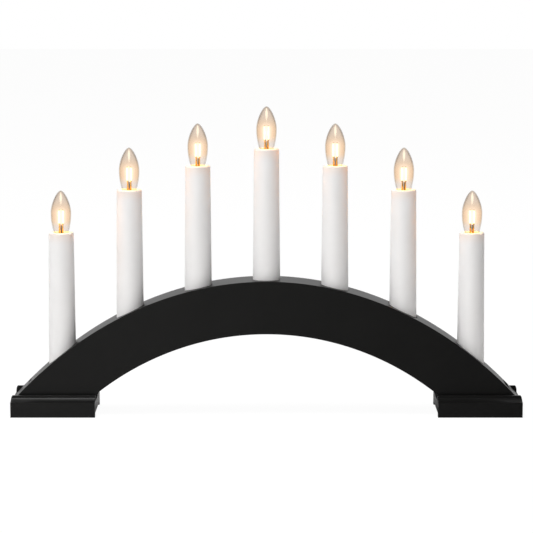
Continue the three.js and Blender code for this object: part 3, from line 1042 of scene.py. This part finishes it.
def clear_glass():
    finish = new_finish("warm_clear_glass")
    above_rim = kept(finish, "above_rim")
    outer_wall = kept(finish, "outer_wall")
    edge_on = seen_edge_on(finish)
    # Painted light: the peach tint at the waist stands in for the rods' warm light in the glass.
    neck, waist, tip = (film(finish, tint) for tint in (NECK_TINT, PAINTED_WAIST_GLOW, TIP_TINT))
    clear = mixed(finish, between(finish, above_rim, *NECK_TO_WAIST), neck, waist)
    clear = mixed(finish, between(finish, above_rim, *WAIST_TO_TIP), clear, tip)
    # Painted shade: a dark tint where a wall is seen edge on, more of it towards the tip.
    high_up = between(finish, above_rim, *EDGE_SHADE_RISE)
    # The higher the power, the closer that part of the painted edge shade keeps to the outline.
    edge_shade = edge_on**3 * (0.32 + 0.1 * high_up) + edge_on**12 * (0.35 + 0.3 * high_up)
    edge_shade = edge_shade + 0.35 * edge_on**2 * high_up
    edge_shaded = mixed(finish, edge_shade, clear, film(finish, PAINTED_EDGE_SHADE))
    # Painted glow of the rods on the outer wall, strongest where the wall is seen face on.
    painted_light = finish.node("ShaderNodeEmission", {}, {"Color": GLOW_TONE, "Strength": GLOW_STRENGTH})
    by_the_rods = between(finish, above_rim, *GLOW_RISE) * (1 - between(finish, above_rim, *GLOW_FALL))
    glow = mixed(finish, outer_wall * by_the_rods * (1 - edge_on) ** 10, None, painted_light)
    body = finish.node("ShaderNodeAddShader", {}, [edge_shaded, glow])
    mirror = finish.node("ShaderNodeBsdfGlossy", {}, {"Color": WHITE, "Roughness": MIRROR_ROUGHNESS})
    outside = 1 - finish.node("ShaderNodeNewGeometry", {}, {}, "Backfacing")
    return surface(finish, mixed(finish, outer_wall * outside * MIRROR_SHARE * edge_on**4, body, mirror))


# %% [markdown]
# ## Light rods, leads and stem
# Inside the glass stand two short light rods, coated with a phosphor that glows warm white. Brass leads
# carry them, a small bridge joins their tops, and the leads come out of a pinched glass stem beside a
# dark strip, a painted shade on the inner side of the right lead. Under the tip hangs a drop of glass
# whose emission paints the bright streak that the rods' reflection in the tip would give.

# %% Light rods, leads and stem
ROD_LENGTH = 10.9
ROD_DIAMETER = 0.9
ROD_SPACING = 3.5
ROD_BASE = 7.2
ROD_EDGE = 0.4
ROD_GRIP = 0.3
ROD_COAT = (1.0, 0.9, 0.6, 1)
ROD_GLOWS = ((1.0, 0.86, 0.6, 1), (1.0, 0.92, 0.7, 1))
ROD_STRENGTH = 1.8
BEAD_STRETCH = (200, 200, 1400)
LEAD_WIDTH = 1.6
LEAD_THICKNESS = 0.5
LEAD_SPACING = 2.15
LEAD_ROOT = 2
LEAD_BEND = 1
LEAD_EDGE = 0.12
LEAD_TONES = ((0.7, 0.4, 0.11, 1), (0.95, 0.58, 0.18, 1))
PAINTED_SHADE_TONE = (0.03, 0.02, 0.008, 1)
BRIDGE_BEND = 0.5
BRIDGE_RISE = 1.3
BRIDGE_WIDTH = 0.6
SHADE_STRIP_WIDTH = 0.5
SHADE_STRIP_PLACE = 0.3
SHADE_STRIP_FRONT = 0.6
DROP_RADIUS = 1.1
DROP_BOTTOM = 20.5
DROP_MIDDLE = 28.5
DROP_TOP = 33.4
DROP_RUN = 2
DROP_STEPS = 8
PAINTED_STREAK_TONE = (1.0, 0.93, 0.8, 1)
PAINTED_STREAK_STRENGTH = 1.35
STEM_DIAMETER = 3.8
STEM_TOP = 1
STEM_PINCH = 1
FLARE_RADIUS = 3.05
FLARE_FOOT = 0.4
FLARE_RISE = 1.5
FLARE_END = 4


def glowing_rods():
    finish = new_finish("glowing_phosphor")
    beads = noise(finish, stretched(finish, object_place(finish), BEAD_STRETCH), scale=1, detail=1)
    return surface(
        finish,
        principled(
            finish,
            Base_Color=ROD_COAT,
            Roughness=0.5,
            Emission_Color=blend_colours(finish, beads, *ROD_GLOWS),
            Emission_Strength=ROD_STRENGTH,
        ),
    )


def lead_metal():
    finish = new_finish("lead_brass")
    tarnish = noise(finish, object_place(finish), scale=900, detail=3)
    bright = blend_colours(finish, tarnish, *LEAD_TONES)
    # The kept number picks out the dark strip of painted shade beside the right lead.
    colour = blend_colours(finish, kept(finish, "painted_shade"), bright, PAINTED_SHADE_TONE)
    rough = 0.25 + 0.15 * tarnish
    return surface(finish, principled(finish, Base_Color=colour, Metallic=1.0, Roughness=rough))


def make_rods():
    pieces = []
    for side in (-1, 1):
        x = side * ROD_SPACING / 2
        bar = rod("light_rod", ROD_DIAMETER / 2, ROD_BASE, ROD_BASE + ROD_LENGTH, x, sides=20)
        pieces.append(ease_edges(bar, ROD_EDGE))
    return smooth(join("rods", pieces), angle=40)


def strip(name, points, width, depth=0):
    """A flat strip that follows a line, with its flat side to the front."""
    piece = draw_line(name, [(x - width / 2, depth, z) for x, z in points])
    push_out((width, 0, 0))
    close_up(piece)
    return modify(piece, "SOLIDIFY", thickness=LEAD_THICKNESS * MM, offset=0)


def make_leads():
    top = ROD_BASE + ROD_LENGTH
    root = STEM_TOP - LEAD_ROOT
    bend = ROD_BASE - LEAD_BEND
    pieces = []
    for side in (-1, 1):
        lead_x, rod_x = side * LEAD_SPACING / 2, side * ROD_SPACING / 2
        lead = [(lead_x, root), (lead_x, bend), (rod_x, ROD_BASE + ROD_GRIP)]
        bridge = [(rod_x, top - ROD_GRIP), (rod_x, top + BRIDGE_BEND), (0, top + BRIDGE_RISE)]
        pieces += [strip("lead", lead, LEAD_WIDTH), strip("bridge", bridge, BRIDGE_WIDTH)]
    for piece in pieces:
        keep(piece, "painted_shade", lambda radius, height: 0.0)
    # Painted shade: a dark strip in front of the right lead's inner edge.
    shade_strip = strip("shade_strip", [(SHADE_STRIP_PLACE, root), (SHADE_STRIP_PLACE, bend)], SHADE_STRIP_WIDTH, -SHADE_STRIP_FRONT)
    keep(shade_strip, "painted_shade", lambda radius, height: 1.0)
    return smooth(ease_edges(join("leads", [*pieces, shade_strip]), LEAD_EDGE, segments=2))


def make_drop():
    """A thick drop of glass inside the tip, which carries the painted highlight streak."""
    lower = bezier(
        (0, DROP_BOTTOM),
        (DROP_RADIUS / 2, DROP_BOTTOM + DROP_RUN),
        (DROP_RADIUS, DROP_MIDDLE - DROP_RUN),
        (DROP_RADIUS, DROP_MIDDLE),
        DROP_STEPS,
    )
    upper = bezier(
        (DROP_RADIUS, DROP_MIDDLE),
        (DROP_RADIUS, DROP_MIDDLE + DROP_RUN),
        (DROP_RADIUS / 3, DROP_TOP - DROP_RUN / 2),
        (0, DROP_TOP),
        DROP_STEPS,
    )
    return smooth(keep_heights(turn("drop", lower + upper[1:], steps=24)), angle=60)


def painted_streak():
    finish = new_finish("painted_streak_glass")
    clear = finish.node("ShaderNodeBsdfTransparent", {}, {"Color": WHITE})
    painted_light = finish.node("ShaderNodeEmission", {}, {"Color": PAINTED_STREAK_TONE, "Strength": PAINTED_STREAK_STRENGTH})
    # Painted highlight: the drop glows where the rods' reflection shows as a streak.
    streak_share = between(finish, kept(finish, "above_rim"), DROP_BOTTOM, DROP_MIDDLE)
    return surface(finish, mixed(finish, streak_share * (1 - seen_edge_on(finish)), clear, painted_light))


def make_stem():
    radius = STEM_DIAMETER / 2
    foot = -NECK_DEPTH
    outline = [
        (0, foot - NECK_SEAT),
        (FLARE_RADIUS, foot - NECK_SEAT),
        (FLARE_RADIUS, foot),
        (radius + FLARE_FOOT, foot + FLARE_RISE),
        (radius, foot + FLARE_END),
        (radius, STEM_TOP - STEM_PINCH),
        (radius - STEM_PINCH / 2, STEM_TOP - STEM_PINCH / 5),
        (0, STEM_TOP),
    ]
    return smooth(keep_heights(turn("stem", outline, steps=40)))


# %% [markdown]
# ## Cap, contact and lampholder
# The screw cap is drawn brass with a rolled thread, the contact is a drop of solder, and the lampholder
# is an ivory plastic cup in the top of the sleeve. They hardly show, but they are there when a bulb is
# unscrewed. The thread is drawn as a wavy wall. The top of the lampholder gets a painted warm glow,
# where the rods would light it.

# %% Cap, contact and lampholder
CAP_DIAMETER = 9.5
CAP_HEIGHT = 9.5
CAP_WALL = 0.5
CAP_CHIN = 1.2
CAP_CHIN_RISE = 0.8
NECK_SOCKET = 2.6
SOCKET_STEP = 0.6
SOCKET_EASE = 0.4
THREAD_PITCH = 1.814
THREAD_DEPTH = 0.4
THREAD_START = 1
THREAD_STOP = 0.6
THREAD_STEPS = 40
THREAD_GAP = 0.4
CONTACT_DIAMETER = 4.4
CONTACT_REACH = 1.6
CONTACT_STEP = 0.6
CONTACT_FLANGE = 0.9
CONTACT_STEPS = 8
HOLDER_FLOOR = 4
HOLDER_FOOT = 0.6
HOLDER_EASE = 0.4
SOCKET_TONES = ((0.72, 0.68, 0.6, 1), (0.8, 0.76, 0.68, 1))
PAINTED_SOCKET_GLOW = (1.0, 0.85, 0.55, 1)
PAINTED_SOCKET_GLOW_RISE = (-10, -2)
cap_top = -NECK_DEPTH - FIT_GAP
cap_bottom = cap_top - CAP_HEIGHT
cap_floor = cap_bottom + 2 * CAP_WALL
holder_top = -SLEEVE_LIP - FIT_GAP
holder_floor = cap_bottom - CONTACT_REACH - FIT_GAP


def thread_line(low, high, radius):
    points = []
    for step in range(THREAD_STEPS + 1):
        height = low + (high - low) * step / THREAD_STEPS
        wave = 0.5 + 0.5 * math.cos(2 * math.pi * (height - low) / THREAD_PITCH)
        points.append((radius - THREAD_DEPTH * wave, height))
    return points


def make_cap():
    radius = CAP_DIAMETER / 2
    hole = CONTACT_DIAMETER / 2 + FIT_GAP
    bore = radius - CAP_WALL
    socket = cap_top - NECK_SOCKET
    outline = [(hole, cap_bottom), (radius - CAP_CHIN, cap_bottom)]
    outline.append((radius - THREAD_DEPTH, cap_bottom + CAP_CHIN_RISE))
    outline += thread_line(cap_bottom + THREAD_START, cap_top - THREAD_STOP, radius)
    outline += [(radius, cap_top), (bore, cap_top), (bore, socket)]
    outline += [(bore - SOCKET_STEP, socket - SOCKET_EASE), (bore - SOCKET_STEP, cap_floor)]
    outline += [(hole, cap_floor), (hole, cap_bottom)]
    return smooth(turn("cap", outline, steps=48))


def make_contact():
    radius = CONTACT_DIAMETER / 2
    flange = radius + CONTACT_STEP
    seat = cap_floor + FIT_GAP
    top = seat + CONTACT_FLANGE
    centre = (0, cap_bottom - CONTACT_REACH + radius)
    dome = arc_points(centre, radius, -math.pi / 2, 0, CONTACT_STEPS)
    outline = [*dome, (radius, seat), (flange, seat), (flange, top), (0, top)]
    return smooth(turn("contact", outline, steps=32))


def make_lampholder():
    radius = SLEEVE_TOP / 2 - SLEEVE_WALL - FIT_GAP
    cup = glass_radius(holder_top) + MOUTH_GAP
    bore = CAP_DIAMETER / 2 + THREAD_GAP
    bottom = holder_floor - HOLDER_FLOOR
    outline = [(0, bottom), (radius - HOLDER_FOOT, bottom), (radius, bottom + HOLDER_FOOT)]
    outline += [(radius, holder_top - HOLDER_EASE), (radius - HOLDER_EASE, holder_top)]
    outline += [(cup, holder_top), (bore, cap_top), (bore, holder_floor), (0, holder_floor)]
    return smooth(keep_heights(turn("lampholder", outline, steps=64)))


def socket_plastic():
    finish = new_finish("ivory_socket_plastic")
    speckle = noise(finish, object_place(finish), scale=400)
    # Painted light: the top of the cup glows warm, as the rods would light it.
    painted_warmth = between(finish, kept(finish, "above_rim"), *PAINTED_SOCKET_GLOW_RISE)
    return surface(
        finish,
        principled(
            finish,
            Base_Color=blend_colours(finish, speckle, *SOCKET_TONES),
            Roughness=0.5 + 0.1 * speckle,
            Emission_Color=blend_colours(finish, painted_warmth, BLACK, PAINTED_SOCKET_GLOW),
            Emission_Strength=1.0,
        ),
    )


# %% [markdown]
# ## Seven candles
# Everything of a candle is now modelled once, with its rim at zero. Each piece is copied seven times, and
# each copy rides on the body that carries it: the sleeve and the lampholder stay, the bulb turns and
# rises when it is unscrewed, and its round contact just rises with it. From the side the bulbs stand in a
# row, so a ray may have to pass many walls of glass before it is stopped.

# %% Seven candles
GLASS_WALLS_SEEN = 48
CAP_TONES = ((0.58, 0.4, 0.15, 1), (0.7, 0.5, 0.2, 1))
SOLDER_TONES = ((0.42, 0.42, 0.41, 1), (0.56, 0.56, 0.54, 1))

bpy.context.scene.cycles.transparent_max_bounces = GLASS_WALLS_SEEN
glass = clear_glass()
cap_brass = mottled("cap_brass", CAP_TONES, scale=900, rough=(0.25, 0.15), Metallic=1.0)
solder = mottled("dull_solder", SOLDER_TONES, scale=700, rough=(0.35, 0.2), Metallic=1.0)
sleeve = make_sleeve(glass_radius(0) + RIM_GAP)
models = [
    (sleeve, "candle_sleeve", white_plastic(), "white_plastic", "holder", True),
    (make_lampholder(), "lampholder", socket_plastic(), "socket_plastic", "holder", True),
    (make_contact(), "bulb_contact", solder, "solder", "bulb_{}_base", True),
    (make_cap(), "bulb_cap", cap_brass, "brass", "bulb_{}", True),
    (make_glass(), "bulb_glass", glass, "clear_glass", "bulb_{}", True),
    (make_rods(), "bulb_filament", glowing_rods(), "light_rods", "bulb_{}", True),
    (make_leads(), "bulb_leads", lead_metal(), "brass", "bulb_{}", False),
    (make_stem(), "bulb_stem", glass, "clear_glass", "bulb_{}", False),
    (make_drop(), "bulb_drop", painted_streak(), "clear_glass", "bulb_{}", False),
]
for model, title, finish, slot, body, stands_in in models:
    for number, place in places.items():
        twin = copy_to(model, f"{title}_{number}_dressed", place)
        nodes = [f"{title}_{number}"] if stands_in else []
        dress(twin, finish, slot, body.format(number), *nodes)
    bpy.data.objects.remove(model)
print("candles:", len(places), "each of", len(models), "pieces")

# %% [markdown]
# ## Light of the lamps
# Each lamp lights its neighbours' sleeves from the side. Glowing rods that are bright enough for that
# would lose their shape in the picture, so the rods only glow, and a small warm light in each bulb does
# the lighting.

# %% Light of the lamps
LAMP_POWER = 0.026
LAMP_TONE = (1.0, 0.45, 0.09)
LAMP_RADIUS = 3

for number, place in places.items():
    middle = place + Vector((0, 0, (ROD_BASE + ROD_LENGTH / 2) * MM))
    bpy.ops.object.light_add(type="POINT", location=middle)
    lamp = bpy.context.object
    lamp.name = f"lamp_light_{number}"
    lamp.data.energy = LAMP_POWER
    lamp.data.color = LAMP_TONE
    lamp.data.shadow_soft_size = LAMP_RADIUS * MM
    lamp.visible_camera = False
    lamp.visible_transmission = False
print("lamps:", len(places))

# %% [markdown]
# ## Wires
# The wires lie in the groove behind the cover, where their plain solids are right as they are. They get a
# soft plastic sheath.

# %% Wires
SHEATH_TONES = ((0.7, 0.68, 0.63, 1), (0.78, 0.76, 0.71, 1))

wire_sheath = mottled("wire_sheath", SHEATH_TONES, scale=250, rough=(0.45, 0.15))
wires = [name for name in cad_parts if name.endswith("_wire") or name.startswith("link_wire")]
for name in wires:
    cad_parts[name].material_slots[0].material = wire_sheath
print("wires:", len(wires))
